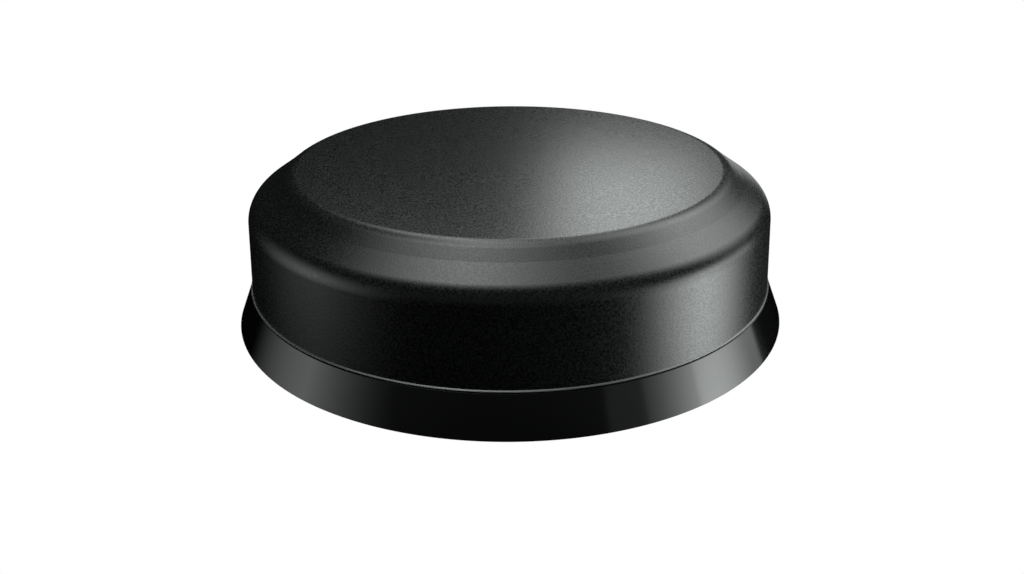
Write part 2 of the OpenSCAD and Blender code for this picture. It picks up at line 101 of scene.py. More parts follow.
class ReceiverSizes(bpy.types.PropertyGroup):
    """Sizes of the details that the finish adds to the frame"""

    rim_radius: FloatProperty(
        name="Rim radius", description="Radius of the radome at its rim, under the bead",
        default=73.1 * MM, unit="LENGTH")
    bead_width: FloatProperty(
        name="Bead width", description="Reach of the thin bead beyond the radome's rim",
        default=0.36 * MM, unit="LENGTH")
    shoulder_radius: FloatProperty(
        name="Shoulder radius", description="Rounding between the radome's wall and its bevel",
        default=6.8 * MM, unit="LENGTH")
    crease_radius: FloatProperty(
        name="Crease radius", description="Rounding of the faint crease part-way up the bevel",
        default=1.5 * MM, unit="LENGTH")
    plateau_radius: FloatProperty(
        name="Plateau edge radius", description="Rounding of the edge of the radome's top",
        default=6 * MM, unit="LENGTH")
    wall: FloatProperty(
        name="Wall", description="Wall thickness of the radome",
        default=2.5 * MM, unit="LENGTH")
    edge: FloatProperty(
        name="Moulded edge", description="Rounding of the small moulded edges",
        default=0.25 * MM, unit="LENGTH")
    grain: FloatProperty(
        name="Radome grain", description="Pitch of the grain on the radome",
        default=0.5 * MM, unit="LENGTH")
    turn_steps: IntProperty(
        name="Steps in a turn", description="Faces round each large turned piece",
        default=288, min=96, max=512)


class ReceiverColours(bpy.types.PropertyGroup):
    """Colours of the pieces that show"""

    radome: FloatVectorProperty(
        name="Radome", description="Black satin plastic of the radome",
        default=(0.0030, 0.0033, 0.0032), subtype="COLOR")
    base: FloatVectorProperty(
        name="Base", description="Black gloss plastic of the mounting base",
        default=(0.0032, 0.0033, 0.0034), subtype="COLOR")
    housing: FloatVectorProperty(
        name="Housing", description="Coating of the lower housing",
        default=(0.016, 0.0165, 0.0175), subtype="COLOR")
    rubber: FloatVectorProperty(
        name="Rubber", description="Black rubber of the seals",
        default=(0.010, 0.010, 0.010), subtype="COLOR")
    background: FloatVectorProperty(
        name="Background", description="Floor and background seen by the camera",
        default=(1.0, 1.0, 1.0), subtype="COLOR")


# ---------- Outlines ----------

def arc(centre, radius, start, end, steps):
    """Points of an arc from one angle to another, in degrees, both ends included."""
    angles = [math.radians(start + (end - start) * i / steps) for i in range(steps + 1)]
    return [(centre[0] + radius * math.cos(a), centre[1] + radius * math.sin(a)) for a in angles]


def rounded(before, corner, after, radius, steps=8):
    """Points that round a corner between its neighbours with an arc."""
    corner = Vector(corner)
    to_before = (Vector(before) - corner).normalized()
    to_after = (Vector(after) - corner).normalized()
    half = to_before.angle(to_after) / 2
    centre = corner + (to_before + to_after).normalized() * radius / math.sin(half)
    first = corner + to_before * radius / math.tan(half) - centre
    last = corner + to_after * radius / math.tan(half) - centre
    turn = first.angle_signed(last)
    points = [centre + Matrix.Rotation(-turn * i / steps, 2) @ first for i in range(steps + 1)]
    return [tuple(point) for point in points]


def soft_outline(corners, radius, steps=3):
    """A closed outline with every corner rounded; a corner may give its own radius third."""
    count = len(corners)
    outline = []
    for i, corner in enumerate(corners):
        own = corner[2] if len(corner) > 2 else radius
        before, after = corners[i - 1][:2], corners[(i + 1) % count][:2]
        outline += rounded(before, corner[:2], after, own, steps) if own else [corner[:2]]
    return outline


# ---------- Meshes ----------

def add_ring(bm, outline, steps, angle=FULL_TURN):
    """Turns a closed outline of (radius, height) round the Z axis, wholly or in part."""
    verts = [bm.verts.new((r * MM, 0, z * MM)) for r, z in outline]
    pairs = zip(verts, verts[1:] + verts[:1])
    edges = [bm.edges.new(pair) for pair in pairs if pair[0].co.x > 0 or pair[1].co.x > 0]
    whole = angle == FULL_TURN
    section = [] if whole else [bm.faces.new(verts)]
    bmesh.ops.spin(bm, geom=verts + edges + section, cent=(0, 0, 0), axis=(0, 0, 1),
                   angle=angle, steps=steps, use_merge=whole, use_duplicate=False)


def close_up(bm):
    """Merges doubles, so that poles and seams are closed, and turns every face outwards."""
    bmesh.ops.remove_doubles(bm, verts=bm.verts, dist=WELD)
    bmesh.ops.dissolve_degenerate(bm, edges=bm.edges, dist=SLIVER)
    bmesh.ops.recalc_face_normals(bm, faces=bm.faces)


def shade(bm, sharpest):
    """Smooth shading that stays crisp across edges sharper than an angle in degrees."""
    limit = math.radians(sharpest)
    for face in bm.faces:
        face.smooth = True
    for edge in bm.edges:
        edge.smooth = len(edge.link_faces) == 2 and edge.calc_face_angle(0) < limit


def to_object(bm, name):
    """An object made from a bmesh, which is then freed."""
    mesh = bpy.data.meshes.new(name)
    bm.to_mesh(mesh)
    bm.free()
    piece = bpy.data.objects.new(name, mesh)
    bpy.context.scene.collection.objects.link(piece)
    return piece


def turned(name, outline, steps):
    """A finished ring or disc."""
    bm = bmesh.new()
    add_ring(bm, outline, steps)
    close_up(bm)
    return to_object(bm, name)


def joined(name, builders):
    """One object out of several solids, each closed up on its own."""
    whole = bmesh.new()
    for build in builders:
        part = bmesh.new()
        build(part)
        close_up(part)
        mesh = bpy.data.meshes.new(name)
        part.to_mesh(mesh)
        part.free()
        whole.from_mesh(mesh)
        bpy.data.meshes.remove(mesh)
    return to_object(whole, name)


def placed(build, matrix):
    """A builder whose solid is moved by a matrix."""
    def build_there(bm):
        build(bm)
        bmesh.ops.transform(bm, matrix=matrix, verts=bm.verts)
    return build_there


def shift(x, y, z=0):
    return Matrix.Translation(Vector((x, y, z)) * MM)


def around(count, radius, start=0):
    """Places on a circle, each turned to face outwards. Angles are in degrees."""
    turns = [Matrix.Rotation(math.radians(start + i * 360 / count), 4, "Z") for i in range(count)]
    return [turn @ shift(radius, 0) for turn in turns]


def copies(build, places):
    """The same solid at each of several places."""
    return [placed(build, place) for place in places]


def ring_builder(outline, steps, angle=FULL_TURN):
    return lambda bm: add_ring(bm, outline, steps, angle)


def round_edges(bm, edges, radius, clamp=False):
    """Rounds edges by a radius in millimetres."""
    bmesh.ops.bevel(bm, geom=edges, offset=radius * MM, affect="EDGES", segments=2, profile=0.5,
                    material=-1, clamp_overlap=clamp)


def box_builder(low, high, edge=0):
    """A block between two corners, in millimetres, with rounded edges."""
    def build(bm):
        size = [(b - a) * MM for a, b in zip(low, high)]
        middle = [(a + b) / 2 * MM for a, b in zip(low, high)]
        matrix = Matrix.Translation(middle) @ Matrix.Diagonal((*size, 1))
        bmesh.ops.create_cube(bm, size=1, matrix=matrix)
        if edge:
            round_edges(bm, bm.edges[:], edge)
    return build


def hex_builder(radius, low, high, edge=0):
    """A hexagonal prism, with its corners on the given radius."""
    def build(bm):
        matrix = shift(0, 0, (low + high) / 2)
        bmesh.ops.create_cone(bm, cap_ends=True, segments=6, radius1=radius * MM,
                              radius2=radius * MM, depth=(high - low) * MM, matrix=matrix)
        if edge:
            round_edges(bm, bm.edges[:], edge)
    return build


def combine(piece, tool, operation):
    """Adds a tool object to a piece or cuts it out of it, and removes the tool."""
    modifier = piece.modifiers.new(operation, "BOOLEAN")
    modifier.operation = operation
    modifier.solver = "EXACT"
    modifier.object = tool
    bpy.context.view_layer.update()
    evaluated = piece.evaluated_get(bpy.context.evaluated_depsgraph_get())
    finished = bpy.data.meshes.new_from_object(evaluated)
    old = piece.data
    piece.modifiers.clear()
    piece.data = finished
    bpy.data.meshes.remove(old)
    finished.name = piece.name
    spent = tool.data
    bpy.data.objects.remove(tool)
    bpy.data.meshes.remove(spent)


def finish_shading(piece, sharpest):
    bm = bmesh.new()
    bm.from_mesh(piece.data)
    shade(bm, sharpest)
    bm.to_mesh(piece.data)
    bm.free()


def stand_for(piece, node, sharpest=SHARP_ANGLE):
    """Shades a finished piece, gives it its node's finish and puts it in place of that CAD node."""
    finish_shading(piece, sharpest)
    flats = piece.modifiers.new("even_flats", "WEIGHTED_NORMAL")
    flats.keep_sharp = True
    piece.data.materials.clear()
    piece.data.materials.append(finish_for(node))
    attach(piece, BODY_OF[node])
    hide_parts(node)


def softened(node, name, edge):
    """A copy of a CAD node whose sharp edges are rounded, which then stands for the node."""
    bm = bmesh.new()
    bm.from_mesh(frame["nodes"][node].data)
    bmesh.ops.remove_doubles(bm, verts=bm.verts, dist=CAD_WELD)
    bmesh.ops.dissolve_limit(bm, angle_limit=math.radians(1), verts=bm.verts, edges=bm.edges)
    limit = math.radians(CORNER_ANGLE)
    corners = [e for e in bm.edges if e.is_manifold and e.calc_face_angle(0) > limit]
    round_edges(bm, corners, edge, clamp=True)
    bmesh.ops.remove_doubles(bm, verts=bm.verts, dist=WELD)
    stand_for(to_object(bm, name), node)


# ---------- Node groups ----------

NUMBER, VECTOR, COLOUR = "NodeSocketFloat", "NodeSocketVector", "NodeSocketColor"


def new_group(name, inputs, outputs):
    """An empty shader node group with named sockets, and its input and output nodes."""
    group = bpy.data.node_groups.new(name, "ShaderNodeTree")
    for socket, kind, default in inputs:
        made = group.interface.new_socket(socket, in_out="INPUT", socket_type=kind)
        if default is not None:
            made.default_value = default
    for socket, kind in outputs:
        group.interface.new_socket(socket, in_out="OUTPUT", socket_type=kind)
    return group, group.nodes.new("NodeGroupInput"), group.nodes.new("NodeGroupOutput")


def add_node(tree, kind, settings=None, **inputs):
    """A node whose inputs are given by name: a socket is linked and anything else is set."""
    node = tree.nodes.new(kind)
    for setting, value in (settings or {}).items():
        setattr(node, setting, value)
    for socket, value in inputs.items():
        feed(tree, node.inputs[socket.replace("_", " ")], value)
    return node


def feed(tree, socket, value):
    if isinstance(value, bpy.types.NodeSocket):
        tree.links.new(value, socket)
    else:
        socket.default_value = value


def maths(tree, operation, a, b=0.0):
    node = tree.nodes.new("ShaderNodeMath")
    node.operation = operation
    feed(tree, node.inputs[0], a)
    feed(tree, node.inputs[1], b)
    return node.outputs[0]


def blend_colours(tree, factor, first, second):
    node = tree.nodes.new("ShaderNodeMix")
    node.data_type = "RGBA"
    feed(tree, node.inputs["Factor"], factor)
    feed(tree, node.inputs[6], first)
    feed(tree, node.inputs[7], second)
    return node.outputs[2]


def noise(tree, vector, scale, detail=2.0, roughness=0.5):
    made = add_node(tree, "ShaderNodeTexNoise", Vector=vector, Scale=scale, Detail=detail,
                    Roughness=roughness)
    return made.outputs["Fac"]


def remap(tree, value, low, high, to_low, to_high, smooth=True):
    made = add_node(tree, "ShaderNodeMapRange",
                    {"interpolation_type": "SMOOTHSTEP" if smooth else "LINEAR"},
                    Value=value, From_Min=low, From_Max=high, To_Min=to_low, To_Max=to_high)
    return made.outputs["Result"]


def grain_group():
    """Moulded grain: soft bumps with finer tooth on them."""
    group, given, out = new_group(
        "moulded_grain",
        [("Vector", VECTOR, None), ("Scale", NUMBER, 2400.0),
         ("Tooth", NUMBER, 0.35)],
        [("Height", NUMBER), ("Spread", NUMBER)])
    vector, scale, tooth = given.outputs["Vector"], given.outputs["Scale"], given.outputs["Tooth"]
    bumps = noise(group, vector, scale, 1.0, 0.5)
    fine = noise(group, vector, maths(group, "MULTIPLY", scale, 2.3), 1.0, 0.6)
    feed(group, out.inputs["Height"], maths(
        group, "ADD", bumps, maths(group, "MULTIPLY", fine, tooth)))
    feed(group, out.inputs["Spread"], remap(group, bumps, 0.3, 0.7, 0.0, 1.0))
    return group


def drift_group():
    """Slow change between two colours, and a value that follows it."""
    group, given, out = new_group(
        "tone_drift",
        [("Vector", VECTOR, None), ("Scale", NUMBER, 40.0),
         ("Light", COLOUR, (0.5, 0.5, 0.5, 1)), ("Dark", COLOUR, (0.1, 0.1, 0.1, 1))],
        [("Color", COLOUR), ("Value", NUMBER)])
    slow = noise(group, given.outputs["Vector"], given.outputs["Scale"], 4.0, 0.55)
    value = remap(group, slow, 0.3, 0.7, 0.0, 1.0)
    feed(group, out.inputs["Color"],
         blend_colours(group, value, given.outputs["Dark"], given.outputs["Light"]))
    feed(group, out.inputs["Value"], value)
    return group


def turning_group():
    """Concentric tool marks about an axis through the object's origin."""
    group, given, out = new_group(
        "turning_marks",
        [("Vector", VECTOR, None), ("Pitch", NUMBER, 0.00025)],
        [("Height", NUMBER), ("Streak", NUMBER)])
    parts = add_node(group, "ShaderNodeSeparateXYZ", Vector=given.outputs["Vector"])
    squares = maths(group, "ADD", maths(group, "POWER", parts.outputs["X"], 2.0),
                    maths(group, "POWER", parts.outputs["Y"], 2.0))
    radius = maths(group, "SQRT", squares)
    rings = maths(group, "DIVIDE", radius, given.outputs["Pitch"])
    place = add_node(group, "ShaderNodeCombineXYZ", X=rings, Z=maths(
        group, "DIVIDE", parts.outputs["Z"], given.outputs["Pitch"])).outputs["Vector"]
    streak = noise(group, place, 0.6, 2.0, 0.6)
    feed(group, out.inputs["Height"], maths(group, "SINE", maths(group, "MULTIPLY", rings, FULL_TURN)))
    feed(group, out.inputs["Streak"], streak)
    return group


def speck_group():
    """Sparse light specks, such as dust."""
    group, given, out = new_group(
        "dust_specks",
        [("Vector", VECTOR, None), ("Scale", NUMBER, 300.0),
         ("Size", NUMBER, 0.08)],
        [("Mask", NUMBER)])
    cells = add_node(group, "ShaderNodeTexVoronoi", Vector=given.outputs["Vector"],
                     Scale=given.outputs["Scale"])
    near = maths(group, "LESS_THAN", cells.outputs["Distance"], given.outputs["Size"])
    tone = add_node(group, "ShaderNodeSeparateColor", Color=cells.outputs["Color"]).outputs["Red"]
    bare_share = 0.72
    chosen = maths(group, "GREATER_THAN", tone, bare_share)
    feed(group, out.inputs["Mask"], maths(group, "MULTIPLY", near, chosen))
    return group


GROUPS = {}


def use_group(tree, build, **inputs):
    """A node of a shared group, which is built the first time that it is asked for."""
    if build not in GROUPS:
        GROUPS[build] = build()
    node = tree.nodes.new("ShaderNodeGroup")
    node.node_tree = GROUPS[build]
    for socket, value in inputs.items():
        feed(tree, node.inputs[socket.replace("_", " ")], value)
    return node.outputs


# ---------- Materials ----------

def new_material(name, **constants):
    """A material, its node tree, its Principled shader and the object's own coordinates."""
    material = bpy.data.materials.new(name)
    material.use_nodes = True
    tree = material.node_tree
    shader = next(node for node in tree.nodes if node.type == "BSDF_PRINCIPLED")
    for socket, value in constants.items():
        shader.inputs[socket.replace("_", " ")].default_value = value
    place = tree.nodes.new("ShaderNodeTexCoord").outputs["Object"]
    return material, tree, shader, place


def coat(tree, shader, colour, roughness, relief, depth):
    """Feeds a shader its changing colour and roughness, and a relief of a depth in millimetres."""
    feed(tree, shader.inputs["Base Color"], colour)
    feed(tree, shader.inputs["Roughness"], roughness)
    made = add_node(tree, "ShaderNodeBump", Height=relief, Distance=depth * MM, Strength=1.0)
    feed(tree, shader.inputs["Normal"], made.outputs["Normal"])


def rgba(colour, gain=1.0):
    return (*(channel * gain for channel in colour), 1)


def drifting(tree, place, colour, scale, light=1.0, dark=0.8):
    """A colour that drifts slowly between a lighter and a darker tone."""
    return use_group(tree, drift_group, Vector=place, Scale=scale, Light=rgba(colour, light),
                     Dark=rgba(colour, dark))


def stretched(tree, pattern, low, high):
    """The middle range of a pattern, stretched between two values."""
    return remap(tree, pattern, 0.3, 0.7, low, high, False)


# Light grey painted on the radome's rim and bead: a painted highlight, not the plastic's own colour. The
# rim's low roughness is real.
RIM_PAINTED_HIGHLIGHT = (0.13, 0.135, 0.132)
POLISHED_ROUGHNESS = 0.12
RIM_BLEND = 0.04 * MM


def satin_plastic(name, colour, grain, rim_top, roughness=0.26, depth=0.015):
    """Moulded plastic with an even spark-eroded grain that stops short of the polished rim, whose light
    grey colour is a painted highlight of the rim bead.
    """
    material, tree, shader, place = new_material(name, IOR=1.5)
    level = add_node(tree, "ShaderNodeSeparateXYZ", Vector=place).outputs["Z"]
    grained_above_painted_rim = remap(tree, level, rim_top - RIM_BLEND, rim_top + RIM_BLEND, 0.0, 1.0)
    drift = drifting(tree, place, colour, 35.0, 1.15, 0.85)
    grains = use_group(tree, grain_group, Vector=place, Scale=1 / grain)
    skin = blend_colours(tree, grains["Spread"], drift["Color"], rgba(colour, 4))
    satin = remap(tree, grains["Spread"], 0.0, 1.0, roughness - 0.04, roughness + 0.06, False)
    rise = maths(tree, "MULTIPLY", maths(tree, "SUBTRACT", satin, POLISHED_ROUGHNESS), grained_above_painted_rim)
    # Below rim_top the colour is the painted highlight of the rim bead; above it, the grained skin.
    coat(tree, shader, blend_colours(tree, grained_above_painted_rim, rgba(RIM_PAINTED_HIGHLIGHT), skin),
         maths(tree, "ADD", POLISHED_ROUGHNESS, rise),
         maths(tree, "MULTIPLY", grains["Height"], grained_above_painted_rim), depth)
    return material


def gloss_plastic(name, colour, roughness=0.1):
    """Polished moulded plastic, with a trace of flow."""
    material, tree, shader, place = new_material(name, IOR=1.5)
    drift = drifting(tree, place, colour, 18.0, 1.2, 0.8)
    rough = remap(tree, drift["Value"], 0.0, 1.0, roughness - 0.02, roughness + 0.02, False)
    coat(tree, shader, drift["Color"], rough, noise(tree, place, 90.0, 1.0), 0.004)
    return material


def rubber(name, colour, roughness=0.62, pores=900.0, depth=0.03):
    """Matte rubber or foam with fine pores."""
    material, tree, shader, place = new_material(name, IOR=1.45)
    grains = use_group(tree, grain_group, Vector=place, Scale=pores, Tooth=0.6)
    drift = drifting(tree, place, colour, 90.0, 1.3, 0.75)
    rough = remap(tree, grains["Spread"], 0.0, 1.0, roughness, roughness + 0.15, False)
    coat(tree, shader, drift["Color"], rough, grains["Height"], depth)
    return material


def cut_metal(name, colour, roughness=0.25, pitch=0.2, depth=0.002):
    """Turned or milled metal with fine tool marks."""
    material, tree, shader, place = new_material(name, Metallic=1.0)
    marks = use_group(tree, turning_group, Vector=place, Pitch=pitch * MM)
    drift = drifting(tree, place, colour, 120.0)
    rough = stretched(tree, marks["Streak"], roughness - 0.07, roughness + 0.1)
    coat(tree, shader, drift["Color"], rough, marks["Height"], depth)
    return material


def plated_metal(name, colour, roughness=0.2, flecks=2500.0, depth=0.003):
    """Plated or drawn metal with a faint orange peel."""
    material, tree, shader, place = new_material(name, Metallic=1.0)
    drift = drifting(tree, place, colour, 200.0, dark=0.78)
    fine = noise(tree, place, flecks, 3.0, 0.6)
    rough = stretched(tree, fine, roughness - 0.05, roughness + 0.1)
    coat(tree, shader, drift["Color"], rough, fine, depth)
    return material


def cast_coating(name, colour):
    """Powder coat over a die casting."""
    material, tree, shader, place = new_material(name, IOR=1.5)
    peel = noise(tree, place, 700.0, 2.0, 0.5)
    drift = drifting(tree, place, colour, 60.0, 1.2, 0.85)
    coat(tree, shader, drift["Color"], stretched(tree, peel, 0.38, 0.5), peel, 0.04)
    return material


def circuit_laminate(name):
    """Green solder mask over copper tracks and vias."""
    bare_mask, copper_mask = (0.006, 0.055, 0.022, 1), (0.012, 0.105, 0.04, 1)
    via_copper = (0.62, 0.45, 0.2, 1)
    material, tree, shader, place = new_material(name, IOR=1.5)
    tracks = add_node(tree, "ShaderNodeTexVoronoi", {"distance": "MANHATTAN", "feature": "F2"},
                      Vector=place, Scale=260.0).outputs["Distance"]
    lines = maths(tree, "PINGPONG", tracks, 0.16)
    copper = remap(tree, lines, 0.07, 0.09, 0.0, 1.0)
    vias = use_group(tree, speck_group, Vector=place, Scale=420.0, Size=0.16)["Mask"]
    mask = blend_colours(tree, copper, bare_mask, copper_mask)
    coat(tree, shader, blend_colours(tree, vias, mask, via_copper),
         remap(tree, copper, 0.0, 1.0, 0.3, 0.38, False), copper, 0.03)
    return material


def ceramic(name):
    """Pressed microwave ceramic, cream with dark flecks."""
    light, dark, fleck = (0.74, 0.69, 0.58, 1), (0.64, 0.58, 0.47, 1), (0.36, 0.31, 0.24, 1)
    material, tree, shader, place = new_material(name, IOR=1.6)
    flecks = use_group(tree, speck_group, Vector=place, Scale=900.0, Size=0.2)["Mask"]
    drift = use_group(tree, drift_group, Vector=place, Scale=150.0, Light=light, Dark=dark)
    fine = noise(tree, place, 2200.0, 3.0)
    coat(tree, shader, blend_colours(tree, flecks, drift["Color"], fleck),
         stretched(tree, fine, 0.45, 0.6), fine, 0.01)
    return material


def plain_moulding(name, colour, roughness=0.4, speckle=1400.0):
    """Small moulded part: even colour with slight drift and tooth."""
    material, tree, shader, place = new_material(name, IOR=1.5)
    drift = drifting(tree, place, colour, 160.0, dark=0.82)
    fine = noise(tree, place, speckle, 3.0)
    rough = stretched(tree, fine, roughness - 0.06, roughness + 0.08)
    coat(tree, shader, drift["Color"], rough, fine, 0.008)
    return material


def felt(name):
    """White membrane felt: tangled fibres."""
    shade_side, light_side = (0.55, 0.55, 0.53, 1), (0.88, 0.88, 0.86, 1)
    material, tree, shader, place = new_material(name, IOR=1.4)
    fibres = noise(tree, place, 3200.0, 6.0, 0.75)
    coat(tree, shader, blend_colours(tree, fibres, shade_side, light_side),
         stretched(tree, fibres, 0.8, 0.95), fibres, 0.05)
    return material


def make_materials():
    """Every finish that the record names, by its slot."""
    colours = bpy.context.scene.receiver_colours
    sizes = bpy.context.scene.receiver_sizes
    steel = (0.56, 0.57, 0.58)
    gold = (0.85, 0.58, 0.25)
    return {
        # The radome's painted rim highlight reaches up to rim_top, just above the bead.
        "satin_radome": satin_plastic(
            "satin_radome", colours.radome, sizes.grain, RIM_Z * MM + 1.25 * sizes.bead_width),
        "gloss_base": gloss_plastic("gloss_base", colours.base),
        "foam_rubber": rubber("foam_rubber", colours.rubber, 0.75, 1100.0, 0.12),
        "black_rubber": rubber("black_rubber", colours.rubber),
        "red_silicone": rubber("red_silicone", (0.28, 0.045, 0.022), 0.42),
        "machined_aluminium": cut_metal("machined_aluminium", (0.72, 0.73, 0.74)),
        "coated_casting": cast_coating("coated_casting", colours.housing),
        "stainless": plated_metal("stainless", steel, 0.26),
        "label_foil": plated_metal("label_foil", (0.62, 0.63, 0.64), 0.36, 1500.0),
        "vent_felt": felt("vent_felt"),
        "circuit_board": circuit_laminate("circuit_board"),
        "patch_ceramic": ceramic("patch_ceramic"),
        "silver_plating": plated_metal("silver_plating", (0.86, 0.85, 0.81), 0.3),
        "contact_gold": plated_metal("contact_gold", gold, 0.18),
        "tinned_can": plated_metal("tinned_can", (0.66, 0.67, 0.68), 0.3, 900.0, 0.006),
        "brass": cut_metal("brass", (0.72, 0.52, 0.22), 0.28, 0.3),
        "chip_epoxy": plain_moulding("chip_epoxy", (0.018, 0.018, 0.019), 0.5),
        "ferrite": plain_moulding("ferrite", (0.05, 0.05, 0.055), 0.6, 900.0),
        "cell_steel": plated_metal("cell_steel", (0.68, 0.68, 0.67), 0.24),
        "coax_jacket": plain_moulding("coax_jacket", (0.015, 0.015, 0.015), 0.45),
        "ivory_nylon": plain_moulding("ivory_nylon", (0.70, 0.66, 0.54), 0.42),
        "wire_insulation": plain_moulding("wire_insulation", (0.35, 0.02, 0.015), 0.38),
        "nickel_plated": plated_metal("nickel_plated", (0.66, 0.63, 0.57), 0.2),
        "black_nylon": plain_moulding("black_nylon", (0.014, 0.014, 0.014), 0.42),
    }


MATERIALS = {}


def finish_for(node):
    """The material of a node's slot in the record."""
    if not MATERIALS:
        MATERIALS.update(make_materials())
    return MATERIALS[SLOT_OF[node]]


def dress_frame(*nodes):
    """Gives CAD nodes that stay in view their materials."""
    for node in nodes:
        mesh = frame["nodes"][node].data
        mesh.materials.clear()
        mesh.materials.append(finish_for(node))


# ---------- Radome ----------

def crown_point(radius, depth, plateau, crown):
    """Point of the shallow spherical crown, depth below the skin."""
    rise = crown - plateau[1]
    crown_r = (plateau[0] ** 2 + rise ** 2) / (2 * rise)
    return radius, crown - crown_r + math.sqrt((crown_r - depth) ** 2 - radius ** 2)


def radome_outline(sizes):
    """Closed section of the radome: rim, bead, wall, bevel and crown, then back inside."""
    rim, bead, wall = sizes.rim_radius / MM, sizes.bead_width / MM, sizes.wall / MM
    shoulder, crease, plateau = (71.9, 33.5), (64.4, 38.55), (60.1, 41.8)
    near = crown_point(plateau[0] - 8, 0, plateau, CROWN_Z)
    bead_low, bead_high = (rim + bead, RIM_Z + 0.55 * bead), (rim, RIM_Z + 1.2 * bead)
    outside = [(rim, RIM_Z)]
    outside += rounded((rim, RIM_Z), (rim + bead, RIM_Z), bead_low, 0.2 * bead, 3)
    outside += rounded((rim + bead, RIM_Z), bead_low, bead_high, 0.2 * bead, 3) + [bead_high]
    outside += rounded(bead_high, shoulder, crease, sizes.shoulder_radius / MM, 20)
    outside += rounded(shoulder, crease, plateau, sizes.crease_radius / MM, 5)
    outside += rounded(crease, plateau, near, sizes.plateau_radius / MM, 12)
    steps = 12
    crown = [crown_point(near[0] * (1 - i / steps), 0, plateau, CROWN_Z) for i in range(steps + 1)]
    lining = [crown_point(near[0] * i / steps, wall, plateau, CROWN_Z) for i in range(steps + 1)]
    inner_plateau, inner_crease, inner_shoulder = (59.3, 39.3), (63.1, 36.5), (69.5, 32.1)
    land_r, land_top = rim - wall - 0.2, RIM_Z + 7
    inside = rounded(lining[-1], inner_plateau, inner_crease, 4, 6)
    inside += rounded(inner_plateau, inner_shoulder, (land_r, land_top + 0.5), 4.3, 10)
    inside += [(land_r - 0.3, land_top + 0.5), (land_r, land_top), (land_r, RIM_Z + 0.3)]
    inside += [(land_r + 0.3, RIM_Z)]
    return outside + crown + lining + inside


def boss_builder(top):
    """A screw boss: a tube with a blind bore and a domed end inside the bevel."""
    outer, bore, foot, bore_top = 4, 1.55, FLOOR_Z + 0.1, FLOOR_Z + 14
    lead = 0.35
    return ring_builder([
        (bore + lead, foot), (outer - lead, foot), (outer, foot + lead), (outer, top - 2),
        (outer - 2, top), (0, top), (0, bore_top + 0.6), (bore, bore_top), (bore, foot + lead),
    ], 32)


class RECEIVER_OT_radome(bpy.types.Operator):
    """Build the radome with its rim bead, soft shoulder, creased bevel and screw bosses"""
    bl_idname = "receiver.radome"
    bl_label = "Radome"

    def execute(self, context):
        sizes = context.scene.receiver_sizes
        boss = boss_builder(36)
        shell = ring_builder(radome_outline(sizes), sizes.turn_steps)
        bosses = copies(boss, around(SCREW_COUNT, SCREW_RING_R))
        stand_for(joined("radome_shell", [shell, *bosses]), "radome")
        return {"FINISHED"}


# ---------- Mounting base ----------

GASKET_IN, GASKET_OUT, GASKET_T = 65.6, 72.4, 1.0
SEAL_IN, SEAL_OUT = 70.8, 72.0
BOLT_RING_R, BOLT_R, BOLT_PAD_R = 60, 2.25, 5.65
BOLT_COUNT, BOLT_START = 3, 90
RING_SCREW_COUNT, RING_SCREW_R, RING_SCREW_START = 6, 46.8, 15


def base_outline(edge):
    """Closed section of the flared base, with the gasket's groove and the rim seal's."""
    top_r, wall, plate = 73.4, 4, PLATE_T
    opening, slip = 25, 0.1
    seal_floor = BASE_TOP + 0.2 - 1.2
    return soft_outline([
        (opening, 0, 0.5), (GASKET_IN - slip, 0, 0.15), (GASKET_IN - slip, GASKET_T, 0),
        (GASKET_OUT + slip, GASKET_T, 0), (GASKET_OUT + slip, 0, 0.15),
        (BASE_R, 0, 0.1), (top_r, BASE_TOP, edge), (SEAL_OUT + slip, BASE_TOP, 0.1),
        (SEAL_OUT + slip, seal_floor, 0), (SEAL_IN - slip, seal_floor, 0),
        (SEAL_IN - slip, BASE_TOP, 0.1), (top_r - wall, BASE_TOP, 0.3),
        (top_r - wall + 1.6, plate, 1.2), (opening, plate, 0.5),
    ], 0.2, 5)


class RECEIVER_OT_mounting_base(bpy.types.Operator):
    """Build the flared mounting base with its plate, ribs, bolt pads, holes and grooves"""
    bl_idname = "receiver.mounting_base"
    bl_label = "Mounting base"

    def execute(self, context):
        sizes = context.scene.receiver_sizes
        base = turned("mounting_base_shell", base_outline(sizes.edge / MM), sizes.turn_steps)
        pad_top, rib_top, chamfer = PLATE_T + 1.5, PLATE_T + 5, 0.4
        pad = ring_builder(soft_outline([
            (0, PLATE_T - 1, 0), (BOLT_PAD_R, PLATE_T - 1, 0), (BOLT_PAD_R, pad_top, 0.4),
            (0, pad_top, 0)], 0), 48)
        rib = box_builder((50.5, -0.8, PLATE_T - 0.5), (70.2, 0.8, rib_top), 0.25)
        added = copies(pad, around(BOLT_COUNT, BOLT_RING_R, BOLT_START))
        added += copies(rib, around(12, 0, 15))
        combine(base, joined("pads_and_ribs", added), "UNION")
        bolt = ring_builder([
            (0, -1), (BOLT_R + chamfer + 1, -1), (BOLT_R, chamfer), (BOLT_R, pad_top - chamfer),
            (BOLT_R + chamfer + 1, pad_top + 1), (0, pad_top + 1)], 48)
        pilot = ring_builder([(0, 0.8), (1.55, 0.8), (1.55, PLATE_T + 1), (0, PLATE_T + 1)], 24)
        cuts = copies(bolt, around(BOLT_COUNT, BOLT_RING_R, BOLT_START))
        cuts += copies(pilot, around(RING_SCREW_COUNT, RING_SCREW_R, RING_SCREW_START))
        combine(base, joined("base_holes", cuts), "DIFFERENCE")
        stand_for(base, "mounting_base")
        return {"FINISHED"}


# ---------- Seals ----------

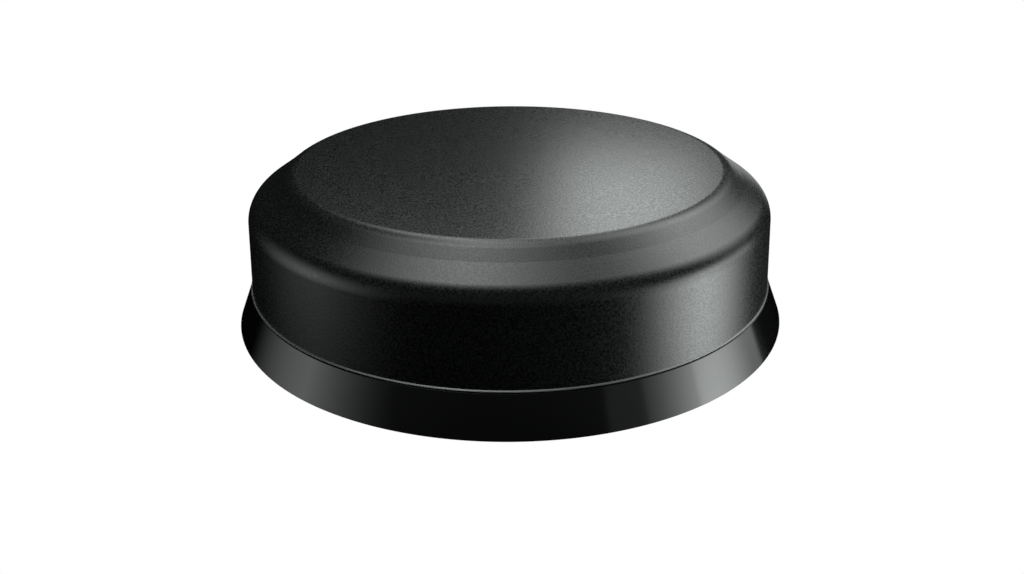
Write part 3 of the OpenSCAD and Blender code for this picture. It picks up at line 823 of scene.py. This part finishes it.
class RECEIVER_OT_seals(bpy.types.Operator):
    """Build the base gasket, the lipped rim seal and the two O-rings"""
    bl_idname = "receiver.seals"
    bl_label = "Seals"

    def execute(self, context):
        steps = context.scene.receiver_sizes.turn_steps
        gasket = soft_outline([
            (GASKET_IN, 0), (GASKET_OUT, 0), (GASKET_OUT, GASKET_T), (GASKET_IN, GASKET_T)], 0.2)
        lip_z = height_of("rim_seal", 1)
        middle = (SEAL_IN + SEAL_OUT) / 2
        lip = soft_outline([
            (SEAL_IN, lip_z - 1.2, 0.1), (SEAL_OUT, lip_z - 1.2, 0.1), (SEAL_OUT, lip_z - 0.3, 0.1),
            (middle + 0.2, lip_z, 0.1), (middle - 0.2, lip_z, 0.1), (SEAL_IN, lip_z - 0.3, 0.1)], 0.1)
        for name, node, outline in (("gasket_ring", "base_gasket", gasket),
                                    ("rim_seal_lip", "rim_seal", lip)):
            stand_for(turned(name, outline, steps), node)
        for name, node in (("housing_o_ring", "housing_seal"), ("inlet_o_ring", "inlet_seal")):
            low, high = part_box(node)
            tube = (high.z - low.z) / 2 / MM
            outline = arc((high.x / MM - tube, (high.z + low.z) / 2 / MM), tube, 0, 345, 23)
            stand_for(turned(name, outline, steps // 2), node, 60)
        return {"FINISHED"}


# ---------- Lower housing ----------

def housing_outline():
    """Closed section of the lower housing: central well, hub, floor, groove and rim."""
    hub_in, hub_foot, outer, lip_top = HUB_R - 3, PLATE_T + 0.6, 70.1, RIM_Z + 6.8
    groove_low, groove_high, groove_r = RIM_Z + 3.7, RIM_Z + 5.9, 68.5
    well_r, well_top, roof, bore = 13, RIM_Z + 4, RIM_Z + 7, 7.1
    return soft_outline([
        (well_r, RIM_Z, 0.6), (hub_in, RIM_Z, 1.5), (hub_in, hub_foot, 0.6), (HUB_R, hub_foot, 0.6),
        (HUB_R, RIM_Z, 0.4), (outer, RIM_Z, 0.4), (outer, groove_low, 0.2),
        (groove_r, groove_low, 0.2), (groove_r, groove_high, 0.2), (outer, groove_high, 0.2),
        (outer, lip_top, 0.4), (outer - 3.5, lip_top, 0.4), (outer - 3.5, FLOOR_Z, 1.0),
        (well_r + 2.5, FLOOR_Z, 1.0), (well_r + 2.5, roof, 0.6), (bore, roof, 0.3),
        (bore, well_top, 0.3), (well_r, well_top, 0.8)], 0.3, 4)


class RECEIVER_OT_lower_housing(bpy.types.Operator):
    """Build the lower housing with its hub, three bayonet lugs, well and screw holes"""
    bl_idname = "receiver.lower_housing"
    bl_label = "Lower housing"

    def execute(self, context):
        sizes = context.scene.receiver_sizes
        housing = turned("lower_housing_casting", housing_outline(), sizes.turn_steps)
        lug_angle = 24
        lug_low, lug_high = PLATE_T + 1.2, PLATE_T + 3.8
        section = soft_outline([
            (HUB_R - 1, lug_low, 0), (43.2, lug_low, 0.4), (43.2, lug_high, 0.4),
            (HUB_R - 1, lug_high, 0)], 0.4)
        lug = ring_builder(section, 16, math.radians(lug_angle))
        lugs = copies(lug, around(3, 0, -lug_angle / 2))
        combine(housing, joined("lugs", lugs), "UNION")
        counterbore = ring_builder([
            (0, RIM_Z - 1), (3.25, RIM_Z - 1), (2.95, RIM_Z + 0.3), (2.95, RIM_Z + 1.7),
            (1.7, RIM_Z + 1.7), (1.7, FLOOR_Z + 1), (0, FLOOR_Z + 1)], 40)
        vent = ring_builder([(0, RIM_Z - 1), (1.8, RIM_Z - 1), (1.5, RIM_Z + 0.3),
                             (1.5, FLOOR_Z + 1), (0, FLOOR_Z + 1)], 32)
        stud = ring_builder([(0, FLOOR_Z - 2), (1.55, FLOOR_Z - 2), (1.55, FLOOR_Z + 1),
                             (0, FLOOR_Z + 1)], 24)
        cuts = copies(counterbore, around(SCREW_COUNT, SCREW_RING_R))
        cuts += [placed(vent, shift(0, 45))]
        cuts += [placed(stud, shift(x, y)) for x, y in STANDOFFS]
        combine(housing, joined("housing_holes", cuts), "DIFFERENCE")
        stand_for(housing, "lower_housing")
        return {"FINISHED"}


# ---------- Bayonet ring, label and vent ----------

class RECEIVER_OT_bayonet_ring(bpy.types.Operator):
    """Round the bayonet ring's machined edges"""
    bl_idname = "receiver.bayonet_ring"
    bl_label = "Bayonet ring"

    def execute(self, context):
        softened("bayonet_ring", "bayonet_ring_milled", 0.12)
        return {"FINISHED"}


class RECEIVER_OT_label_and_vent(bpy.types.Operator):
    """Build the blank rating label and the vent membrane"""
    bl_idname = "receiver.label_and_vent"
    bl_label = "Label and vent"

    def execute(self, context):
        softened("rating_label", "rating_label_foil", 0.04)
        low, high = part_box("vent_membrane")
        middle = (low + high) / 2 / MM
        radius, top = (high.x - low.x) / 2 / MM, high.z / MM
        disc = ring_builder([(0, low.z / MM), (radius, low.z / MM), (radius, top - 0.1),
                             (radius - 0.1, top), (radius - 0.9, top), (radius - 1.1, top - 0.08),
                             (0, top - 0.08)], 64)
        piece = joined("vent_membrane_disc", [placed(disc, shift(middle.x, middle.y))])
        stand_for(piece, "vent_membrane")
        return {"FINISHED"}


# ---------- Screws ----------

def low_head_screw(length, head_r=2.75, head_h=1.5, shank_r=1.5):
    """Outline of a low-head screw that points along +Z, with its head's face at z = 0."""
    pitch, root = 0.5, 0.28
    outline = [(0, 0), (head_r - 0.35, 0), (head_r - 0.1, 0.1), (head_r, 0.35), (head_r, head_h)]
    outline += [(shank_r, head_h)]
    crests = int((length - 0.6) / pitch)
    for i in range(crests):
        z = head_h + 0.3 + i * pitch
        outline += [(shank_r, z), (shank_r - root, z + pitch / 2)]
    tip = head_h + length
    outline += [(shank_r - root, tip - 0.2), (shank_r - root - 0.2, tip), (0, tip)]
    return outline


class RECEIVER_OT_screws(bpy.types.Operator):
    """Build the screws with hex sockets; housing and antenna screws have ringed threads"""
    bl_idname = "receiver.screws"
    bl_label = "Screws"

    def add_screws(self, node, name, outline, places, socket):
        screw = ring_builder(outline, 32)
        piece = joined(name, copies(screw, places))
        combine(piece, joined("sockets", copies(socket, places)), "DIFFERENCE")
        stand_for(piece, node, 30)

    def execute(self, context):
        low_socket = hex_builder(1.2, -1, 0.9)
        head_z = height_of("housing_screws", 0)
        lift = shift(0, 0, head_z)
        places = [lift @ place for place in around(SCREW_COUNT, SCREW_RING_R)]
        self.add_screws("housing_screws", "housing_screw_set", low_head_screw(10), places, low_socket)
        over = shift(0, 0, height_of("antenna_screws", 1)) @ Matrix.Rotation(math.pi, 4, "X")
        places = [shift(x, y) @ over for x, y in STANDOFFS]
        self.add_screws("antenna_screws", "antenna_screw_set", low_head_screw(5), places, low_socket)
        foot, top = height_of("bayonet_screws", 0), height_of("bayonet_screws", 1)
        flush = [(0, foot), (1.3, foot), (1.5, foot + 0.2), (1.5, top - 1.4), (2.65, top - 0.1),
                 (2.6, top), (0, top)]
        places = around(RING_SCREW_COUNT, RING_SCREW_R, RING_SCREW_START)
        self.add_screws("bayonet_screws", "bayonet_screw_set", flush, places,
                        hex_builder(1.1, top - 0.8, top + 1))
        return {"FINISHED"}


# ---------- Antenna and boards ----------

class RECEIVER_OT_antenna(bpy.types.Operator):
    """Finish the ground plane, antenna board, stacked patches, feed pins and shield can"""
    bl_idname = "receiver.antenna"
    bl_label = "Antenna"

    def execute(self, context):
        for node, name, edge in (
                ("ground_plane", "ground_plane_disc", 0.1), ("antenna_board", "antenna_laminate", 0.05),
                ("lower_patch", "lower_patch_tile", 0.35), ("upper_patch", "upper_patch_tile", 0.3),
                ("lower_electrode", "lower_electrode_film", 0.04),
                ("upper_electrode", "upper_electrode_film", 0.04),
                ("feed_pins", "feed_pin_set", 0.06), ("lna_shield", "amplifier_can", 0.1)):
            softened(node, name, edge)
        return {"FINISHED"}


class RECEIVER_OT_boards(bpy.types.Operator):
    """Finish the main board, its modules and chips, and the standoffs"""
    bl_idname = "receiver.boards"
    bl_label = "Boards"

    def execute(self, context):
        for node, name, edge in (
                ("main_board", "main_laminate", 0.05), ("gnss_module", "gnss_module_can", 0.3),
                ("radio_module", "radio_module_can", 0.25), ("processor", "processor_chip", 0.12),
                ("board_chips", "board_chip_set", 0.12), ("power_inductors", "inductor_pair", 0.5),
                ("backup_cell", "backup_cell_can", 0.25), ("upper_standoffs", "upper_standoff_set", 0.1),
                ("lower_standoffs", "lower_standoff_set", 0.1)):
            softened(node, name, edge)
        return {"FINISHED"}


class RECEIVER_OT_wiring(bpy.types.Operator):
    """Finish the coaxial jumper, the harness and their plugs"""
    bl_idname = "receiver.wiring"
    bl_label = "Wiring"

    def execute(self, context):
        for node, name, edge in (("coax_plugs", "coax_plug_pair", 0.15),
                                 ("harness_header", "harness_header_shroud", 0.15),
                                 ("harness_plug", "harness_plug_body", 0.2)):
            softened(node, name, edge)
        dress_frame("coax_jumper", "wire_harness")
        return {"FINISHED"}


# ---------- Cable inlet ----------

class RECEIVER_OT_inlet(bpy.types.Operator):
    """Build the threaded cable inlet, its nut, insulator and contacts"""
    bl_idname = "receiver.inlet"
    bl_label = "Cable inlet"

    def execute(self, context):
        foot = height_of("inlet_shell", 0)
        top = height_of("inlet_shell", 1)
        flange_top, flange_low = RIM_Z + 4, RIM_Z + 2.2
        thread_r, root_r, bore, flange_r, body_r = 6.0, 5.42, 4.4, 9.5, 7.0
        shell = soft_outline([
            (bore, foot, 0.35), (root_r, foot, 0.3), (root_r, flange_low - 0.1, 0.2),
            (flange_r, flange_low, 0.25), (flange_r, flange_top, 0), (8.8, flange_top, 0),
            (8.8, flange_top - 1, 0), (7.4, flange_top - 1, 0), (7.4, flange_top, 0),
            (body_r, flange_top, 0), (body_r, top, 0.3), (bore, top, 0.3)], 0.2, 3)
        pitch, turns = 1.0, 7
        flank = pitch * 0.44
        start = foot + 0.55

        def add_thread(bm):
            corners = [(root_r - 0.05, start - flank), (root_r - 0.05, start + flank),
                       (thread_r, start + 0.06), (thread_r, start - 0.06)]
            verts = [bm.verts.new((r * MM, 0, z * MM)) for r, z in corners]
            section = bm.faces.new(verts)
            steps = 56 * turns
            bmesh.ops.spin(bm, geom=[*verts, *section.edges, section], cent=(0, 0, 0), axis=(0, 0, 1),
                           dvec=(0, 0, pitch * turns * MM / steps), angle=FULL_TURN * turns,
                           steps=steps, use_merge=False, use_duplicate=False)

        key = box_builder((-0.6, bore - 0.7, foot + 0.6), (0.6, bore + 0.2, foot + 6.4), 0.15)
        inlet = joined("inlet_connector", [ring_builder(shell, 96), add_thread, key])
        stand_for(inlet, "inlet_shell", 30)

        nut_low, nut_high = height_of("inlet_nut", 0), height_of("inlet_nut", 1)
        nut = joined("inlet_hex_nut", [hex_builder(9.8, nut_low, nut_high, 0.35)])
        hole = ring_builder([(0, nut_low - 1), (body_r + 0.05, nut_low - 1),
                             (body_r + 0.05, nut_high + 1), (0, nut_high + 1)], 64)
        combine(nut, joined("nut_hole", [hole]), "DIFFERENCE")
        stand_for(nut, "inlet_nut", 30)

        pins = [(0, 0)] + [(x, y) for x in (-2.5, 2.5) for y in (-2.5, 2.5)]
        pin_foot, cup_top = height_of("inlet_contacts", 0), height_of("inlet_contacts", 1)
        cup_foot = cup_top - 2.4
        pin = ring_builder([(0, pin_foot), *arc((0.15, pin_foot + 0.35), 0.35, -90, 0, 5),
                            (0.5, cup_foot), (0.75, cup_foot), (0.8, cup_foot + 0.05),
                            (0.8, cup_top - 0.05), (0.75, cup_top), (0, cup_top)], 24)
        contacts = joined("inlet_contact_set", [placed(pin, shift(x, y)) for x, y in pins])
        stand_for(contacts, "inlet_contacts", 40)

        face, back = height_of("inlet_insulator", 0), height_of("inlet_insulator", 1)
        body = bore - 0.05
        outline = [(0, face), (body - 0.5, face), (body - 0.2, face + 0.1), (body, face + 0.4),
                   (body, back), (0, back)]
        insulator = joined("inlet_contact_block", [ring_builder(outline, 72)])
        bore_builder = ring_builder([(0, face - 1), (1.0, face - 1), (0.55, face + 0.2),
                                     (0.55, back + 1), (0, back + 1)], 24)
        holes = joined("contact_holes", [placed(bore_builder, shift(x, y)) for x, y in pins])
        combine(insulator, holes, "DIFFERENCE")
        stand_for(insulator, "inlet_insulator", 30)
        return {"FINISHED"}


# ---------- Studio ----------

# Softboxes: name, azimuth and elevation of the middle, half width and half height, softness of
# the sides and of the top and bottom (all in degrees), and strength. Azimuth 0 is straight behind
# the object and 90 is to its right. The rows overhead, back_top, back_right, back_strip, right_low,
# right_level and left are rounded results of a least-squares fit, some changed afterwards; the
# other rows were set one by one.
SOFTBOXES = [
    ("overhead", -75, 80, 5, 8, 25, 30, 15),
    ("back_top", -10, 55, 6, 18, 6, 4, 4),
    ("back_right", 55, 45, 20, 12, 15, 25, 6.2),
    ("back_strip", 9, 30, 5, 11, 2, 4, 4),
    ("back_low", 15, -8, 12, 5, 4, 3, 0.8),
    ("right_low", 92, -22, 10, 5, 26, 10, 8),
    ("right_level", 100, -8, 15, 16, 16, 12, 5),
    ("right_panel", 84, 0, 20, 8, 1, 10, 2),
    ("right_step", 116, 5, 11, 10, 1, 10, 0.6),
    ("right_far_step", 135, 8, 8, 10, 1, 10, 0.2),
    ("left", -95, 0, 12, 15, 30, 15, 2.3),
    ("front_fill", 180, 28, 60, 18, 12, 8, 0.07),
    ("under_back", 0, -48, 9, 7, 9, 6, 0.9),
    ("floor_bounce", 0, -88, 20, 20, 12, 12, 3),
]
LAMP_TINT = (0.955, 1.0, 0.98)

# Place in metres, angles in degrees and lens in millimetres, rounded from a fit of the camera
CAMERA_PLACE = Vector((0, -0.2671, 0.1261))
CAMERA_PITCH, CAMERA_YAW, CAMERA_ROLL = 24.77, 0.12, -0.36
CAMERA_LENS, SENSOR_W = 35.05, 36.0
CLIP_NEAR, CLIP_FAR = 0.01, 20
FLOOR_R, FLOOR_DROP = 6, 0.2 * MM


def softbox_group():
    """Light of one softbox in a direction: a rectangle in angle with soft edges."""
    group, given, out = new_group(
        "softbox",
        [("Direction", VECTOR, None), ("Middle", VECTOR, (0, 1, 0)),
         ("Side", VECTOR, (1, 0, 0)), ("Up", VECTOR, (0, 0, 1)),
         ("Half Width", NUMBER, 0.3), ("Half Height", NUMBER, 0.3),
         ("Side Edge", NUMBER, 0.1), ("Top Edge", NUMBER, 0.1),
         ("Strength", NUMBER, 1.0)],
        [("Light", NUMBER)])

    def along(axis):
        node = group.nodes.new("ShaderNodeVectorMath")
        node.operation = "DOT_PRODUCT"
        feed(group, node.inputs[0], given.outputs["Direction"])
        feed(group, node.inputs[1], given.outputs[axis])
        return node.outputs["Value"]

    def inside(offset, half, edge):
        start = maths(group, "ADD", given.outputs[half], given.outputs[edge])
        end = maths(group, "SUBTRACT", given.outputs[half], given.outputs[edge])
        return remap(group, maths(group, "ABSOLUTE", offset), end, start, 1.0, 0.0)

    forward = along("Middle")
    across = maths(group, "ARCTAN2", along("Side"), forward)
    rise = maths(group, "ARCSINE", along("Up"))
    shape = maths(group, "MULTIPLY", inside(across, "Half Width", "Side Edge"),
                  inside(rise, "Half Height", "Top Edge"))
    feed(group, out.inputs["Light"], maths(group, "MULTIPLY", shape, given.outputs["Strength"]))
    return group


def add_softbox(tree, direction, azimuth, elevation, half_w, half_h, side_edge, top_edge, strength):
    azimuth, elevation = math.radians(azimuth), math.radians(elevation)
    middle = Vector((math.sin(azimuth) * math.cos(elevation), math.cos(azimuth) * math.cos(elevation),
                     math.sin(elevation)))
    side = Vector((math.cos(azimuth), -math.sin(azimuth), 0))
    return use_group(tree, softbox_group, Direction=direction, Middle=middle, Side=side,
                     Up=side.cross(middle), Half_Width=math.radians(half_w),
                     Half_Height=math.radians(half_h), Side_Edge=math.radians(side_edge),
                     Top_Edge=math.radians(top_edge), Strength=strength)["Light"]


def light_world(colour):
    """Softboxes all round for the object; plain background for the camera."""
    world = bpy.data.worlds.new("studio")
    world.use_nodes = True
    tree = world.node_tree
    tree.nodes.clear()
    direction = tree.nodes.new("ShaderNodeTexCoord").outputs["Generated"]
    total = 0.0
    for _, *settings in SOFTBOXES:
        total = maths(tree, "ADD", total, add_softbox(tree, direction, *settings))
    lamps = add_node(tree, "ShaderNodeBackground", Color=rgba(LAMP_TINT), Strength=total)
    backdrop = add_node(tree, "ShaderNodeBackground", Color=rgba(colour), Strength=1.0)
    seen = tree.nodes.new("ShaderNodeLightPath").outputs["Is Camera Ray"]
    mix = tree.nodes.new("ShaderNodeMixShader")
    feed(tree, mix.inputs[0], seen)
    feed(tree, mix.inputs[1], lamps.outputs[0])
    feed(tree, mix.inputs[2], backdrop.outputs[0])
    out = tree.nodes.new("ShaderNodeOutputWorld")
    feed(tree, out.inputs["Surface"], mix.outputs[0])
    bpy.context.scene.world = world


def floor_material(colour):
    """Pale floor that shows from above and not from below."""
    material = bpy.data.materials.new("pale_floor")
    material.use_nodes = True
    tree = material.node_tree
    tree.nodes.clear()
    pale = add_node(tree, "ShaderNodeEmission", Color=rgba(colour), Strength=1.0)
    clear = tree.nodes.new("ShaderNodeBsdfTransparent")
    behind = tree.nodes.new("ShaderNodeNewGeometry").outputs["Backfacing"]
    mix = tree.nodes.new("ShaderNodeMixShader")
    feed(tree, mix.inputs[0], behind)
    feed(tree, mix.inputs[1], pale.outputs[0])
    feed(tree, mix.inputs[2], clear.outputs[0])
    out = tree.nodes.new("ShaderNodeOutputMaterial")
    feed(tree, out.inputs["Surface"], mix.outputs[0])
    return material


class RECEIVER_OT_stage(bpy.types.Operator):
    """Set the pale floor, the soft studio light and the camera"""
    bl_idname = "receiver.stage"
    bl_label = "Stage"

    def execute(self, context):
        scene = context.scene
        colour = scene.receiver_colours.background
        bm = bmesh.new()
        bmesh.ops.create_circle(bm, cap_ends=True, segments=96, radius=FLOOR_R,
                                matrix=Matrix.Translation((0, 0, -FLOOR_DROP)))
        floor = to_object(bm, "floor")
        floor.data.materials.append(floor_material(colour))
        floor.visible_diffuse = floor.visible_glossy = floor.visible_shadow = False
        light_world(colour)
        scene.view_settings.view_transform = "Standard"

        camera = bpy.data.objects.new("camera", bpy.data.cameras.new("camera"))
        scene.collection.objects.link(camera)
        camera.data.lens, camera.data.sensor_width = CAMERA_LENS, SENSOR_W
        camera.data.clip_start, camera.data.clip_end = CLIP_NEAR, CLIP_FAR
        turn = Matrix.Rotation(-math.radians(CAMERA_YAW), 4, "Z")
        tilt = Matrix.Rotation(math.radians(90 - CAMERA_PITCH), 4, "X")
        roll = Matrix.Rotation(math.radians(CAMERA_ROLL), 4, "Z")
        camera.matrix_world = Matrix.Translation(CAMERA_PLACE) @ turn @ tilt @ roll
        scene.camera = camera
        return {"FINISHED"}


# ---------- Add-on ----------

PIECE_OPERATORS = (
    RECEIVER_OT_radome, RECEIVER_OT_mounting_base, RECEIVER_OT_seals, RECEIVER_OT_lower_housing,
    RECEIVER_OT_bayonet_ring, RECEIVER_OT_label_and_vent, RECEIVER_OT_screws, RECEIVER_OT_antenna,
    RECEIVER_OT_boards, RECEIVER_OT_wiring, RECEIVER_OT_inlet, RECEIVER_OT_stage,
)


class RECEIVER_PT_panel(bpy.types.Panel):
    """Lists the receiver's settings and the operators that build it"""
    bl_idname = "RECEIVER_PT_panel"
    bl_label = "GNSS receiver"
    bl_space_type = "VIEW_3D"
    bl_region_type = "UI"
    bl_category = "Receiver"

    def draw(self, context):
        layout = self.layout
        for group in (context.scene.receiver_sizes, context.scene.receiver_colours):
            for setting in group.__annotations__:
                layout.prop(group, setting)
        for operator in PIECE_OPERATORS:
            layout.operator(operator.bl_idname)


CLASSES = (ReceiverSizes, ReceiverColours, *PIECE_OPERATORS, RECEIVER_PT_panel)


def register():
    for cls in CLASSES:
        bpy.utils.register_class(cls)
    bpy.types.Scene.receiver_sizes = PointerProperty(type=ReceiverSizes)
    bpy.types.Scene.receiver_colours = PointerProperty(type=ReceiverColours)


def unregister():
    del bpy.types.Scene.receiver_colours
    del bpy.types.Scene.receiver_sizes
    for cls in reversed(CLASSES):
        bpy.utils.unregister_class(cls)


def main():
    register()
    for operator in PIECE_OPERATORS:
        group, name = operator.bl_idname.split(".")
        getattr(getattr(bpy.ops, group), name)()


if __name__ == "__main__":
    main()
